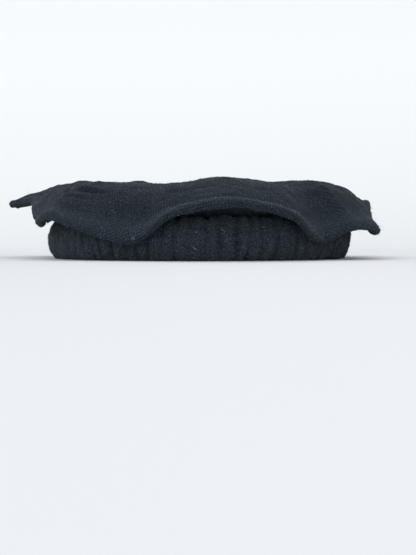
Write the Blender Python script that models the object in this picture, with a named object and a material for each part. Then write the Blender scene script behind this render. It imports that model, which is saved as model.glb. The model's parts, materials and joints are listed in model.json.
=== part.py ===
"""A pakol: a soft round wool hat whose flat crown lies out over a thick rolled band.

The hat rests on its roll. +Z is up, the front is towards -Y, and the part's own origin is the bottom
centre of its box. Lengths are in metres. A turn is in degrees about the head opening, from the front
(0) towards +X (90), and each piece is a row of sections, one at each turn.
"""

import math
import random
from collections import namedtuple

import bpy
import numpy as np

# Head opening, and the roll wound round it
HEAD_WIDTH = 0.154
HEAD_LENGTH = 0.186
ROLL_THICK = 0.020
ROLL_HEIGHT = 0.025
ROLL_FLAT = 0.008  # the pressed face that the hat rests on

# Gathers over the roll, and over the cloth beside it
GATHER_WIDTH = 0.0070
GATHER_DEPTH = 0.0012
WALL_GATHER_DEPTH = 0.0008
GATHER_UNEVEN = 0.30  # share of a gather's width that its place may stray
VALLEY_LEAST = 0.55  # shallowest and deepest valley, as shares of the gathers' depth
VALLEY_MOST = 1.30
INSIDE_DEPTH = 0.3  # how much of that depth is left on the roll's inner side
GATHER_SEED = 7

# Crown: a round of cloth with a thick turned edge, lying out past the roll
CLOTH = 0.0020
EDGE_THICK = 0.0050
SEAM_GAP = 0.0011  # between the layers at the crown's edge
LAY_GAP = 0.0002  # between the roll and the cloth that lies on it
OVERHANG = 0.028
CROWN_RISE = 0.024  # from the top of the roll to the top of the crown
CROWN_MIDDLE = 0.93  # height of the crown's middle, as a share of its full height
SHOULDER = 0.55  # share of the reach where the crown starts to fall

# The crown's edge, a row for each rise, dip, curl or fold. The columns are its turn, how far it
# reaches past the roll (share of OVERHANG), the heights of the edge and of the shoulder inside it
# (shares of the crown's full height), and how late and how roundly the cloth falls between them.
Fold = namedtuple("Fold", "turn reach edge shoulder fullness")
FOLDS = [
    Fold(*row)
    for row in (
        (-160, 0.70, 0.87, 0.94, 3.0),
        (-126, 0.80, 0.90, 0.94, 3.0),
        (-115, 0.86, 0.84, 0.95, 2.6),
        (-109, 1.10, 0.74, 0.95, 2.2),  # the cloth corner, back left, hangs a little
        (-104, 0.62, 0.76, 0.96, 2.6),
        (-99, 0.32, 0.78, 0.97, 3.4),
        (-93, 0.12, 0.74, 0.97, 4.4),
        (-80, 0.02, 0.64, 0.96, 5.0),  # the left side curls down and in
        (-68, 0.03, 0.50, 0.95, 5.0),
        (-58, 0.13, 0.45, 0.94, 4.4),
        (-46, 0.36, 0.53, 0.93, 3.2),  # the left lobe
        (-36, 0.24, 0.42, 0.92, 3.9),
        (-27, 0.08, 0.31, 0.89, 5.0),
        (-20, 0.03, 0.235, 0.87, 5.5),  # the dip, front left
        (-14.5, 0.05, 0.30, 0.87, 4.5),
        (-9, 0.15, 0.48, 0.89, 3.6),
        (-3, 0.24, 0.58, 0.92, 2.6),
        (8, 0.30, 0.647, 0.95, 3.0),  # the front peak
        (18, 0.31, 0.59, 0.94, 2.9),
        (26, 0.27, 0.485, 0.92, 3.2),
        (30.5, 0.17, 0.35, 0.90, 4.2),
        (34, 0.08, 0.285, 0.88, 5.0),
        (37.5, 0.04, 0.26, 0.88, 5.5),  # the dip, front right
        (42, 0.11, 0.285, 0.91, 5.2),
        (48, 0.31, 0.40, 0.95, 4.5),
        (57, 0.43, 0.42, 0.95, 3.8),  # the right lobe
        (72, 0.38, 0.36, 0.95, 4.0),
        (84, 0.28, 0.37, 0.94, 4.4),  # the right side curls down
        (98, 0.36, 0.53, 0.94, 3.8),
        (112, 0.68, 0.755, 0.94, 3.2),
        (116, 0.78, 0.65, 0.94, 3.2),  # the small tab, back right
        (121, 0.74, 0.80, 0.94, 3.0),
        (140, 0.78, 0.83, 0.94, 3.0),
        (175, 0.66, 0.85, 0.93, 3.0),
    )
]
STEP_DEG = 4.5  # widest step between two sections of the crown

# Where the sections of the crown have their points, as shares of its reach
TOP_SHARES = (0.30, 0.56, 0.73, 0.84, 0.915, 0.965)
UNDER_SHARES = (0.982, 0.95, 0.90, 0.80, 0.54)
EDGE_ANGLES = (75, 30, -15, -60, -105)
WALL_ANGLE_IN = 105  # where the side wall's inner end lies on the roll, in degrees up from outward
WALL_STATIONS = 5
WALL_LIFT = 1.6  # how late the cloth leaves the roll on its way out to the edge
WALL_TUCK_DEG = 35
ROLL_STEPS = 8
INSIDE_FROM = -0.5  # cosine of the section's angle where the roll's inner side begins
ROLL_GATHER = ((0, 0), (0.3, 1), (0.72, 0.85))  # share across a gather, height there
WALL_GATHER = ((0, 0), (0.5, 1))
WAY_STEP = 0.01  # share of the way over which a direction is measured

CROWN_COLOUR = (0.012, 0.015, 0.020)
WALL_COLOUR = (0.006, 0.008, 0.011)
ROLL_COLOUR = (0.009, 0.011, 0.015)
WOOL_ROUGHNESS = 0.95


def crown_height():
    return ROLL_HEIGHT + CROWN_RISE


def read_round(column, turns):
    """Reads a column of the folds at any turns, on a closed smooth curve that overshoots no row."""
    x = np.array([fold.turn for fold in FOLDS], float)
    y = np.array([getattr(fold, column) for fold in FOLDS], float)
    x = np.concatenate([x[-2:] - 360, x, x[:2] + 360])
    y = np.concatenate([y[-2:], y, y[:2]])
    width = np.diff(x)
    slope = np.diff(y) / width
    before, after = slope[:-1], slope[1:]
    weight_a = 2 * width[1:] + width[:-1]
    weight_b = width[1:] + 2 * width[:-1]
    same = before * after > 0
    mean = weight_a / np.where(same, before, 1) + weight_b / np.where(same, after, 1)
    tangent = np.zeros(len(x))
    tangent[1:-1] = np.where(same, (weight_a + weight_b) / np.where(same, mean, 1), 0)
    at = (np.asarray(turns, float) - x[2]) % 360 + x[2]
    k = np.clip(np.searchsorted(x, at, side="right") - 1, 1, len(x) - 3)
    t = (at - x[k]) / width[k]
    rise = (1 + 2 * t) * (1 - t) ** 2 * y[k] + t * t * (3 - 2 * t) * y[k + 1]
    return rise + width[k] * t * (1 - t) * ((1 - t) * tangent[k] - t * tangent[k + 1])


def crown_turns():
    """The crown's turns: one at each fold, and even steps between two folds."""
    turns = []
    for fold, after in zip(FOLDS, FOLDS[1:] + [FOLDS[0]._replace(turn=FOLDS[0].turn + 360)]):
        count = math.ceil((after.turn - fold.turn) / STEP_DEG)
        turns += list(np.linspace(fold.turn, after.turn, count, endpoint=False))
    return np.array(turns)


def roll_middle(turns):
    """Distance from the opening's centre to the middle of the roll."""
    angle = np.radians(turns)
    half_width = (HEAD_WIDTH + ROLL_THICK) / 2
    half_length = (HEAD_LENGTH + ROLL_THICK) / 2
    return 1 / np.hypot(np.sin(angle) / half_width, np.cos(angle) / half_length)


def roll_section():
    """Half height, middle height and lowest angle of the roll's section, an oval with a flat foot."""
    upright = math.sqrt(1 - (ROLL_FLAT / ROLL_THICK) ** 2)
    half_height = ROLL_HEIGHT / (1 + upright)
    return half_height, half_height * upright, -math.asin(upright)


def edge_middle(turns):
    """Reach and height of the middle of the crown's turned edge."""
    stack = CLOTH + 2 * SEAM_GAP + EDGE_THICK / 2
    roll_outside = roll_middle(turns) + ROLL_THICK / 2
    reach = roll_outside + stack + OVERHANG * read_round("reach", turns)
    return reach, crown_height() * read_round("edge", turns)


def crown_line(turns, share):
    """The middle of the crown's cloth at a share of its reach: its reach and height at each turn."""
    reach, edge = edge_middle(turns)
    shoulder = crown_height() * read_round("shoulder", turns)
    middle = crown_height() * CROWN_MIDDLE
    inside = min(share / SHOULDER, 1)
    top = middle + (shoulder - middle) * inside**2 * (3 - 2 * inside)
    fall = max(share - SHOULDER, 0) / (1 - SHOULDER)
    return reach * share, top - (shoulder - edge) * fall ** read_round("fullness", turns)


def crown_way(turns, share):
    """Unit direction outwards along the crown's cloth, and its upward normal, as (reach, height)."""
    inner, outer = crown_line(turns, share - WAY_STEP), crown_line(turns, share)
    out, up = outer[0] - inner[0], outer[1] - inner[1]
    length = np.hypot(out, up)
    along = (out / length, up / length)
    return along, (-along[1], along[0])


def crown_point(turns, share, side):
    """A point of the crown's cloth, half its thickness above (side 1) or below (side -1) its middle."""
    reach, height = crown_line(turns, share)
    _, normal = crown_way(turns, share)
    offset = side * CLOTH / 2
    return reach + normal[0] * offset, height + normal[1] * offset


def edge_point(turns, angle_deg, distance):
    """A point about the turned edge, at an angle from outward along the cloth up to its normal."""
    reach, height = edge_middle(turns)
    along, normal = crown_way(turns, 1.0)
    out, up = distance * math.cos(math.radians(angle_deg)), distance * math.sin(math.radians(angle_deg))
    return reach + along[0] * out + normal[0] * up, height + along[1] * out + normal[1] * up


def gathers():
    """Turn and depth of each valley between two gathers, placed unevenly as hand-wound cloth lies."""
    rng = random.Random(GATHER_SEED)
    round_roll = math.pi * (HEAD_WIDTH + HEAD_LENGTH + 2 * ROLL_THICK) / 2
    count = round(round_roll / GATHER_WIDTH)
    rows = []
    for k in range(count):
        stray = GATHER_UNEVEN * (rng.random() - 0.5)
        depth = rng.uniform(VALLEY_LEAST, VALLEY_MOST)
        rows.append(((k + stray) * 360 / count - 180, depth))
    return rows


def over_gathers(profile):
    """Turns of the samples across every gather, and how far each lies below its ridge."""
    rows = gathers()
    turns, depths = [], []
    for (turn, depth), (after, _) in zip(rows, rows[1:] + [(rows[0][0] + 360, 0)]):
        for fraction, height in profile:
            turns.append(turn + (after - turn) * fraction)
            depths.append(depth * (1 - height))
    return np.array(turns), np.array(depths)


def place(turns, reach, height):
    """Points in space from the turn, reach and height of each."""
    angle = np.radians(turns)
    return np.stack([reach * np.sin(angle), -reach * np.cos(angle), height * np.ones(len(turns))], 1)


def solid(name, rings, closed_section, colour, poles=None):
    """One closed body over rings of points. A closed section joins its last ring to its first."""
    count = len(rings[0])
    points = [tuple(p) for ring in rings for p in ring]
    faces = []
    pairs = [(k, k + 1) for k in range(len(rings) - 1)]
    if closed_section:
        pairs.append((len(rings) - 1, 0))
    for a, b in pairs:
        for i in range(count):
            j = (i + 1) % count
            faces.append((a * count + i, b * count + i, b * count + j, a * count + j))
    if poles:
        first, last = len(points), len(points) + 1
        points += poles
        end = (len(rings) - 1) * count
        for i in range(count):
            j = (i + 1) % count
            faces.append((first, i, j))
            faces.append((last, end + j, end + i))
    mesh = bpy.data.meshes.new(name)
    mesh.from_pydata(points, [], faces)
    mesh.validate()
    mesh.shade_smooth()
    mesh.materials.append(wool(name + "_wool", colour))
    piece = bpy.data.objects.new(name, mesh)
    bpy.context.scene.collection.objects.link(piece)
    return piece


def wool(name, colour):
    """Matt felted wool."""
    material = bpy.data.materials.new(name)
    material.use_nodes = True
    shader = material.node_tree.nodes["Principled BSDF"]
    shader.inputs["Base Color"].default_value = (*colour, 1)
    shader.inputs["Roughness"].default_value = WOOL_ROUGHNESS
    shader.inputs["Metallic"].default_value = 0
    return material


def make_crown():
    """The round top of the hat, one layer of cloth that ends in its thick turned edge."""
    turns = crown_turns()
    rings = [place(turns, *crown_point(turns, share, 1)) for share in TOP_SHARES]
    rings += [place(turns, *edge_point(turns, angle, EDGE_THICK / 2)) for angle in EDGE_ANGLES]
    rings += [place(turns, *crown_point(turns, share, -1)) for share in UNDER_SHARES]
    middle = crown_height() * CROWN_MIDDLE
    poles = [(0, 0, middle + CLOTH / 2), (0, 0, middle - CLOTH / 2)]
    return solid("crown", rings, False, CROWN_COLOUR, poles)


def make_side_wall():
    """The gathered cloth from under the crown's edge, in over the roll's top."""
    turns, depths = over_gathers(WALL_GATHER)
    coarse = crown_turns()
    tucked = edge_point(coarse, -90 - WALL_TUCK_DEG, EDGE_THICK / 2 + SEAM_GAP + CLOTH / 2)
    tuck_reach = np.interp(turns, coarse, tucked[0], period=360)
    tuck_height = np.interp(turns, coarse, tucked[1], period=360)

    half_height, middle_height, _ = roll_section()
    half_thick = ROLL_THICK / 2
    clear = LAY_GAP + CLOTH / 2
    middle_reach = roll_middle(turns)

    def touch(angle):
        """How far the cloth's middle is from the roll's middle where it lies on the roll."""
        across = np.cos(angle) / (half_thick + clear)
        return 1 / np.hypot(across, np.sin(angle) / (half_height + clear))

    start = math.radians(WALL_ANGLE_IN)
    end = np.arctan2(tuck_height - middle_height, tuck_reach - middle_reach)
    end_far = np.hypot(tuck_height - middle_height, tuck_reach - middle_reach)
    lift = np.maximum(end_far - touch(end), 0)

    def line(share):
        angle = start + (end - start) * share
        raised = WALL_GATHER_DEPTH * (VALLEY_MOST - depths) * (1 - share)
        far = touch(angle) + lift * max(share, 0) ** WALL_LIFT + raised
        return middle_reach + far * np.cos(angle), middle_height + far * np.sin(angle)

    sides = {1: [], -1: []}
    for k in range(WALL_STATIONS):
        share = k / (WALL_STATIONS - 1)
        here, back, on = line(share), line(share - WAY_STEP), line(share + WAY_STEP)
        along, up = on[0] - back[0], on[1] - back[1]
        length = np.hypot(along, up)
        for side, rings in sides.items():
            out = side * CLOTH / 2 / length
            rings.append(place(turns, here[0] - up * out, here[1] + along * out))
    return solid("side_wall", sides[1] + sides[-1][::-1], True, WALL_COLOUR)


def make_roll():
    """The band wound round the head opening, gathered all the way and pressed flat where it rests."""
    turns, depths = over_gathers(ROLL_GATHER)
    half_height, middle_height, lowest = roll_section()
    middle_reach = roll_middle(turns)
    rings = []
    for k in range(ROLL_STEPS + 1):
        angle = lowest + (math.pi - 2 * lowest) * k / ROLL_STEPS
        pressed = k in (0, ROLL_STEPS)
        inside = math.cos(angle) < INSIDE_FROM
        cut = 0 if pressed else GATHER_DEPTH * depths * (INSIDE_DEPTH if inside else 1)
        reach = middle_reach + (ROLL_THICK / 2 - cut) * math.cos(angle)
        height = 0 if pressed else middle_height + (half_height - cut) * math.sin(angle)
        rings.append(place(turns, reach, height))
    return solid("roll", rings[::-1], True, ROLL_COLOUR)


def stand_on_origin(pieces):
    """Parents the pieces to an empty that brings the bottom centre of their box to the origin."""
    corners = np.array([vertex.co for piece in pieces for vertex in piece.data.vertices])
    low, high = corners.min(axis=0), corners.max(axis=0)
    hat = bpy.data.objects.new("hat", None)
    hat.location = (-(low[0] + high[0]) / 2, -(low[1] + high[1]) / 2, -low[2])
    bpy.context.scene.collection.objects.link(hat)
    for piece in pieces:
        piece.parent = hat


def main():
    for old in list(bpy.data.objects):
        bpy.data.objects.remove(old, do_unlink=True)
    stand_on_origin([make_crown(), make_side_wall(), make_roll()])


main()
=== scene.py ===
"""Looks for the pakol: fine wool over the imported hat, its fibres and lint, a pale floor, light and camera.

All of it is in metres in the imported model's frame: +Z is up and the hat's front is towards -Y. The crown,
the side wall and the roll are made again here from the same sizes and the same table of folds as the
solids, with the small gathers, creases and fibres that solids leave out.
"""

import json
import math
import random

import bpy
import numpy as np
from mathutils import Matrix, Quaternion, Vector


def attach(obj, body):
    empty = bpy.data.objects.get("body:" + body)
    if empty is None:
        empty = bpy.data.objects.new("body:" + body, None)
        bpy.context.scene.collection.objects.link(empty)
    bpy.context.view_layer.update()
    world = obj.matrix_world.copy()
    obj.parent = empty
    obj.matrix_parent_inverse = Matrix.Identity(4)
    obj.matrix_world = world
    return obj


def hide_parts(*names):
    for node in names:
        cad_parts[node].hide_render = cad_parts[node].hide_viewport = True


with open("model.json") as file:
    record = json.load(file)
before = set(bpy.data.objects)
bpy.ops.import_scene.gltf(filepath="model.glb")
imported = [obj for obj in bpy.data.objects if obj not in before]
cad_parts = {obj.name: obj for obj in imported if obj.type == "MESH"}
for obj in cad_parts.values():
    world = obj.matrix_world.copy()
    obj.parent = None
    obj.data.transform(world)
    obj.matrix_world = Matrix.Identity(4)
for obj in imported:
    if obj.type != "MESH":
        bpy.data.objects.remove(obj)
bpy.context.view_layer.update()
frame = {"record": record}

# Sizes of the solids. Here and below, lengths are in metres and angles in degrees unless a line says
# otherwise.
HEAD_WIDTH = 0.154
HEAD_LENGTH = 0.186
ROLL_THICK = 0.020
ROLL_HEIGHT = 0.025
ROLL_FLAT = 0.008
GATHER_WIDTH = 0.0070
GATHER_DEPTH = 0.0012
WALL_GATHER_DEPTH = 0.0008
GATHER_UNEVEN = 0.30
VALLEY_LEAST = 0.55
VALLEY_MOST = 1.30
GATHER_SEED = 7
CLOTH = 0.0020
EDGE_THICK = 0.0050
SEAM_GAP = 0.0011
LAY_GAP = 0.0002
OVERHANG = 0.028
CROWN_RISE = 0.024
CROWN_HEIGHT = ROLL_HEIGHT + CROWN_RISE
CROWN_MIDDLE = 0.93
SHOULDER = 0.55
WALL_ANGLE_IN = 105
WALL_ANGLE_SUNK = 132  # here the cloth has gone down into the winding
WALL_SINK = 0.0007
WALL_LIFT = 1.6
WALL_TUCK_DEG = 35

# The crown's edge: turn in degrees from the front towards +X, reach past the roll (share of OVERHANG),
# heights of the edge and the shoulder (shares of the crown's height), and how late the cloth falls.
COLUMNS = ("turn", "reach", "edge", "shoulder", "fullness")
FOLDS = (
    (-160, 0.70, 0.87, 0.94, 3.0),
    (-126, 0.80, 0.90, 0.94, 3.0),
    (-115, 0.86, 0.84, 0.95, 2.6),
    (-109, 1.10, 0.74, 0.95, 2.2),
    (-104, 0.62, 0.76, 0.96, 2.6),
    (-99, 0.32, 0.78, 0.97, 3.4),
    (-93, 0.12, 0.74, 0.97, 4.4),
    (-80, 0.02, 0.64, 0.96, 5.0),
    (-68, 0.03, 0.50, 0.95, 5.0),
    (-58, 0.13, 0.45, 0.94, 4.4),
    (-46, 0.36, 0.53, 0.93, 3.2),
    (-36, 0.24, 0.42, 0.92, 3.9),
    (-27, 0.08, 0.31, 0.89, 5.0),
    (-20, 0.03, 0.235, 0.87, 5.5),
    (-14.5, 0.05, 0.30, 0.87, 4.5),
    (-9, 0.15, 0.48, 0.89, 3.6),
    (-3, 0.24, 0.58, 0.92, 2.6),
    (8, 0.30, 0.647, 0.95, 3.0),
    (18, 0.31, 0.59, 0.94, 2.9),
    (26, 0.27, 0.485, 0.92, 3.2),
    (30.5, 0.17, 0.35, 0.90, 4.2),
    (34, 0.08, 0.285, 0.88, 5.0),
    (37.5, 0.04, 0.26, 0.88, 5.5),
    (42, 0.11, 0.285, 0.91, 5.2),
    (48, 0.31, 0.40, 0.95, 4.5),
    (57, 0.43, 0.42, 0.95, 3.8),
    (72, 0.38, 0.36, 0.95, 4.0),
    (84, 0.28, 0.37, 0.94, 4.4),
    (98, 0.36, 0.53, 0.94, 3.8),
    (112, 0.68, 0.755, 0.94, 3.2),
    (116, 0.78, 0.65, 0.94, 3.2),
    (121, 0.74, 0.80, 0.94, 3.0),
    (140, 0.78, 0.83, 0.94, 3.0),
    (175, 0.66, 0.85, 0.93, 3.0),
)

# How fine the visible meshes are
CROWN_TURNS = 720
RIM_ZONE = 0.010  # this far in from the edge the rings lie close together
TOP_RINGS = (21, 60)  # rings in that zone and inside it
TOP_IN = 0.02  # the innermost ring's share of the crown's reach
RING_CROWD = 1.5  # how much closer the inner rings lie near that zone than in the crown's middle
EDGE_RINGS = 15
EDGE_UPPER = EDGE_RINGS * 2 // 3  # the edge's rings that face up and out
UNDER_RINGS = (11, 14)
UNDER_IN = 0.35
USUAL_REACH = 0.112
ROLL_TURNS = 1360
ROLL_RINGS = 56
FOOT_RINGS = 6
WALL_TURNS = 1360
WALL_RINGS = 30

# Seeds of the random draws. A set of waves takes its seed and the ones after it.
SEEDS = {
    "gathers": 3, "fine_stray": 5, "fine_gathers": 6, "lint": 9,
    "cloth": 20, "rim": 31, "roll": 40, "slanting": 47, "wall": 60, "rows": 71,
    "crown_fuzz": 101, "roll_fuzz": 102, "side_wall_fuzz": 103, "rim_hairs": 104,
}

# Waves of the cloth: wavelength and height of each set
WAVE_COUNT = 28  # so many plain waves make up one set
WAVE_SPREAD = (0.7, 1.5)  # their lengths, as shares of the set's
CLOTH_WAVES = ((0.030, 0.00050), (0.011, 0.00022), (0.0045, 0.00009))
RIM_WAVES = ((0.004, 0.00012), (0.012, 0.00022))
ROLL_WAVES = ((0.016, 0.00040), (0.006, 0.00018), (0.0028, 0.00009))
WALL_WAVES = ((0.014, 0.00045), (0.006, 0.00020))
ROW_WAVE = 0.024  # wavelength and height with which the rows of stitches wander
ROW_STRAY = 0.0005

# The crown's small forms, by the way in from its edge
RIM_SOFT = 0.0010  # how softly the thick edge runs into the cloth
SEAM_IN = 0.0044  # the groove behind the crown's thick edge
SEAM_WIDE = 0.0010
SEAM_DEEP = 0.00045
SEAM_CLOSE = 0.00005
WAVES_GROW = (-0.004, 0.012)  # the waves set in here
RIM_WORN = (0.002, 0.008)  # and the worn rim ends here
EDGE_WORN = 0.9
EDGE_LOWER_SHADE = 0.5  # the edge's lower part, which faces down, is painted darker by this factor as painted shade

# Creases of the crown: turn where each starts and ends, how far in from the edge there (metres),
# how deep (metres) and how wide it is.
CREASES = (
    (-66, 0.021, -27, 0.014, 0.0016, 0.0018),
    (-70, 0.0125, -38, 0.0095, 0.0004, 0.0010),
    (-66, 0.030, -34, 0.024, 0.0005, 0.0016),
    (-74, 0.042, -40, 0.036, 0.0004, 0.0018),
    (-63, 0.0240, -34, 0.0180, 0.00042, 0.0011),
    (-65, 0.0275, -36, 0.0210, 0.00040, 0.0011),
    (-69, 0.0335, -37, 0.0285, 0.00042, 0.0012),
    (-67, 0.0370, -41, 0.0325, 0.00036, 0.0012),
    (-62, 0.0165, -33, 0.0115, 0.00055, 0.0010),
    (-56, 0.0080, -38, 0.0070, 0.00030, 0.0009),
    (40, 0.022, 66, 0.026, 0.0005, 0.0020),
    (43, 0.0185, 62, 0.0200, 0.00030, 0.0012),
    (46, 0.0290, 70, 0.0310, 0.00032, 0.0013),
    (-12, 0.016, 26, 0.018, 0.0003, 0.0016),
)
CREASE_BOW = 0.0015  # how far a crease wanders sideways, and how fast for each degree of turn
CREASE_BEAT = 0.21
CREASE_START = (-0.05, 0.25)  # shares of its length over which it sets in and ends
CREASE_END = (0.75, 1.05)
LIP_HIGH = 0.35  # the low ridge beside a crease: height by its depth, place by its width
LIP_AWAY = 1.7
CREASE_SHADE = 1100  # painted shade in a crease: how much the wear field is lowered for each metre of the crease's depth; the low ridge beside it gets a painted highlight

# Gathers: how far they slant (by their spacing) and how sharp their valleys are
DEEP_SLANT, DEEP_SHARP = 0.28, 0.75
FINE_SLANT, FINE_SHARP = 0.9, 1.0
GATHER_BEAT = (0.6, 1.6)  # how fast each one wanders round the section
DEPTH_MEAN, DEPTH_SWING, DEPTH_BEAT = 0.80, 0.45, 1.7  # how its depth comes and goes with that
FINE_EACH = 3  # fine gathers to each deep one, their stray (degrees) and depth
FINE_STRAY = 0.4
FINE_DEPTH = 0.00022
FRONT_MIDDLE = 3  # turn of the front's middle
SIDE_FADE = (18, 50)  # this far from it the gathers grow flatter
SIDE_CALM = 0.42  # and lie this share as deep at the sides
INNER_CALM = 0.3  # the same for the roll's inner side, and where it begins (cosine round the section)
INNER_FADE = (-0.7, -0.2)
FOOT_DEEP = 0.35  # depth of the gathers under the foot, as a share of their depth at its corner

# Strong gathers of the roll: turn, how far it stands out and its half width (degrees).
RIDGES = (
    (-13.0, 0.0006, 1.0),
    (-3.7, 0.0010, 0.9),
    (12.1, 0.0006, 0.8),
    (20.2, 0.0007, 0.8),
    (26.7, 0.0007, 0.9),
)
RIDGE_LEAN, RIDGE_BEAT = 0.8, 1.3  # how far each wanders (degrees) and how fast round the section
RIDGE_FADE = (-0.2, 0.5)  # where it ends over the roll's top (cosine round the section)

# Small knots low on the roll: turn, angle round the roll's section and radius.
KNOTS = (
    (-38.0, -36, 0.0012),
    (-4.0, -36, 0.0016),
    (1.9, -38, 0.0012),
    (9.7, -37, 0.0016),
    (16.2, -37, 0.0014),
)
KNOT_BLUNT, KNOT_TIGHT = 1.3, 0.8  # how blunt a knot's top is and how fast it falls off

# The slanting small folds at the roll's right: between which turns, their slant, size and height
SLANTING_START, SLANTING_END = (45, 60), (105, 125)
SLANTING_SKEW = 0.4
SLANTING_WAVE = 0.0065
SLANTING_STRETCH = (0.35, 0.5, 1.0)
SLANTING_HIGH = 0.0006

# Painted shade in the roll's gathers: its wear field is lowered by the depth of its deep and fine gathers,
# and at the sides by only this share of that
VALLEY_SHADE_DEEP, VALLEY_SHADE_FINE, VALLEY_SHADE_SIDE = 1.1, 0.25, 0.4

# The side wall, by the share of the way from the roll's winding to the crown's edge
WALL_SWEEP = 1.2  # how far round the section its gathers run (radians)
WALL_THIN = 0.3  # the cloth's thickness at the sunk end, and the share where it is whole
WALL_WHOLE = 0.15
WALL_ABOVE = (0.05, 0.25)  # it comes out of the winding here
WALL_FREE = 0.008  # lifted this far off the roll it moves freely
WALL_VALLEY = 0.0007  # how deep its free valleys are
WALL_CALM = 0.35  # their share at the sides, and where that sets in (turns from the front's middle)
WALL_CALM_FADE = (30, 50)
WALL_STEP = 0.01  # its direction is measured over this share to both sides
WALL_PALE, WALL_DARKER_UP = 0.8, 0.6  # its wear field's value at the roll, and how much lower it is at the crown
WALL_CLOTH = 0.03  # its width in cloth coordinates
PLEAT_TURN, PLEAT_LEAN, PLEAT_WIDE = 14.5, 3.3, 0.7  # one clear pleat in front (degrees)
PLEAT_HIGH = 0.0010

# Fibres: most lie flat and loose, and none goes under the floor
FIBRE_LENGTHS = (0.45, 1.25)  # shares of the usual length and thickness
FIBRE_THICKS = (0.6, 1.2)
FIBRE_BEND = 0.22
FIBRE_BOW = 0.15
FIBRE_DROP = 0.9
FIBRE_MIDDLE = 0.8  # thickness in the middle, as a share of that at the root
FIBRE_STEEP = 0.8  # one that stands up more than this takes its sides from another direction
TIP_CLEAR = 0.00025
ROOT_SUNK = 0.00012
RIM_FUZZ = 2.2  # so many times the fibres of the cloth beside it
RIM_FUZZ_RINGS = 6  # rings in from the edge that have them, and that have the longer hairs
RIM_HAIR_RINGS = 3
FRONT_FUZZ, FRONT_FADE = 1.6, (20, 60)  # more in front and less behind, by the turn
BACK_FUZZ, BACK_FADE = 0.5, (95, 130)
VALLEY_FUZZ, RIDGE_POWER = 0.12, 1.5  # fewer in the valleys of the gathers

# Rows of stitches
PLAIN_ROWS = (0.00085, 0.00085)
CROWN_ROWS = (0.0015, 0.0018)  # width and height of two stitches of the crown's cloth
ROW_TRIES = 4  # so many places are tried for each fibre, and those on a stitch are kept first
ROW_LOOSE = 0.09  # how many fibres stand between the stitches

# Threads of lint: turn, height, length, lean from upright (degrees), curl and width.
ROLL_LINT = (
    (-0.7, 0.0160, 0.0014, 20, 0.2, 0.00040),
    (-1.4, 0.0078, 0.0019, -40, 0.3, 0.00028),
    (-1.0, 0.0070, 0.0014, -65, 0.5, 0.00030),
    (6.8, 0.0175, 0.0032, -48, 0.3, 0.00020),
    (7.2, 0.0160, 0.0026, 35, -0.6, 0.00018),
    (8.1, 0.0115, 0.0024, 8, 0.9, 0.00020),
    (19.1, 0.0185, 0.0022, 82, 0.4, 0.00024),
    (19.6, 0.0172, 0.0015, 40, -0.5, 0.00020),
    (-8.2, 0.0140, 0.0013, 60, 0.5, 0.00018),
    (12.9, 0.0080, 0.0012, -20, 0.6, 0.00018),
)
CROWN_LINT = (
    (-17.0, 0.0130, 0.0015, -55, 0.3, 0.00034),
    (-17.6, 0.0122, 0.0008, 20, 0.4, 0.00026),
)
SIDE_LINT = (
    (-62.0, 0.0050, 0.0016, 70, 0.3, 0.00030),
    (58.0, 0.0120, 0.0013, 40, 0.5, 0.00020),
)
LINT_STEPS = 9
LINT_SIDES = 5
LINT_FROM = 0.30  # so far out the look for the hat's surface begins
LINT_CLEAR = 0.00025  # how far a thread stands off, and how much more towards its ends
LINT_LOOSE = 0.0004
LINT_LOOSER = (0.3, 1.0)
LINT_END = 0.45  # thickness at its ends
LINT_HELPER = (0.31, 0.12, 0.94)  # a direction that no thread follows

# Colours
WOOL_DARK = (0.0036, 0.0054, 0.0086, 1)
WOOL_LIGHT = (0.0240, 0.0325, 0.0425, 1)
# The crown's paler colour is darker than the roll's: painted shade that evens out the stronger light on its
# top
CROWN_SHADED_LIGHT = (0.0155, 0.0232, 0.0314, 1)
# The side wall's copy of the wool colours, tinted bluer as painted shade under the crown
UNDER_SHADE_DARK = (0.0034, 0.0048, 0.0085, 1)
UNDER_SHADE_LIGHT = (0.0280, 0.0360, 0.0530, 1)
# The fuzz is real; its fibres' paler colour is a painted glint of light on them
FIBRE_DARK = (0.010, 0.014, 0.020, 1)
FIBRE_GLINT = (0.170, 0.220, 0.270, 1)
UNDER_FIBRE_SHADE = 0.5  # the side wall's fibres are darker, by this factor, as painted shade under the crown
LINT = (0.29, 0.30, 0.31, 1)
LINT_DARK = (0.10, 0.11, 0.12, 1)
FLOOR_NEAR = (0.600, 0.600, 0.612, 1)
FLOOR_LEFT_SHADOW = (0.555, 0.575, 0.598, 1)  # a painted soft shadow on the floor in front, at the left, cooler and darker
FLOOR_FAR = (0.825, 0.832, 0.826, 1)
SKY_LOW = (0.50, 0.515, 0.53, 1)  # the sky's light at the horizon and straight above
SKY_HIGH = (1.45, 1.49, 1.53, 1)

# The wool's noises, and what each adds: from and to which noise, and the tone there
BROAD_NOISE = {"Scale": 38.0, "Detail": 3.0}
FINE_NOISE = {"Scale": 850.0, "Detail": 3.0, "Roughness": 0.60}
SPECK_NOISE = {"Scale": 1700.0, "Detail": 2.0}
FIBRE_NOISE = {"Scale": 950.0, "Detail": 1.0}
BROAD_TONE = (0.30, 0.70, 0.0, 0.20)
FINE_TONE = (0.36, 0.66, -0.36, 0.66)
SPECK_TONE = (0.56, 0.72, 0.0, 0.80)
FELTED = (0.35, 0.62, 1.0, 0.35)  # the rows of stitches are felted over in places
FIBRE_SPREAD = (0.38, 0.66)
ROW_HEIGHT, FINE_HEIGHT, SPECK_HEIGHT = 0.25, 2.6, 1.0
BUMP = {"Strength": 0.70, "Distance": 0.00042}
WOOL_SHADER = {
    "Roughness": 0.95, "Specular IOR Level": 0.12,
    "Sheen Roughness": 0.55, "Sheen Tint": (0.72, 0.80, 0.92, 1),
}
FIBRE_SHADER = {"Roughness": 0.8, "Specular IOR Level": 0.2}
FLOOR_SHADER = {"Roughness": 0.9}
MIX_A, MIX_B, MIX_OUT = 6, 7, 2  # a colour mix node's sockets
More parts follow.
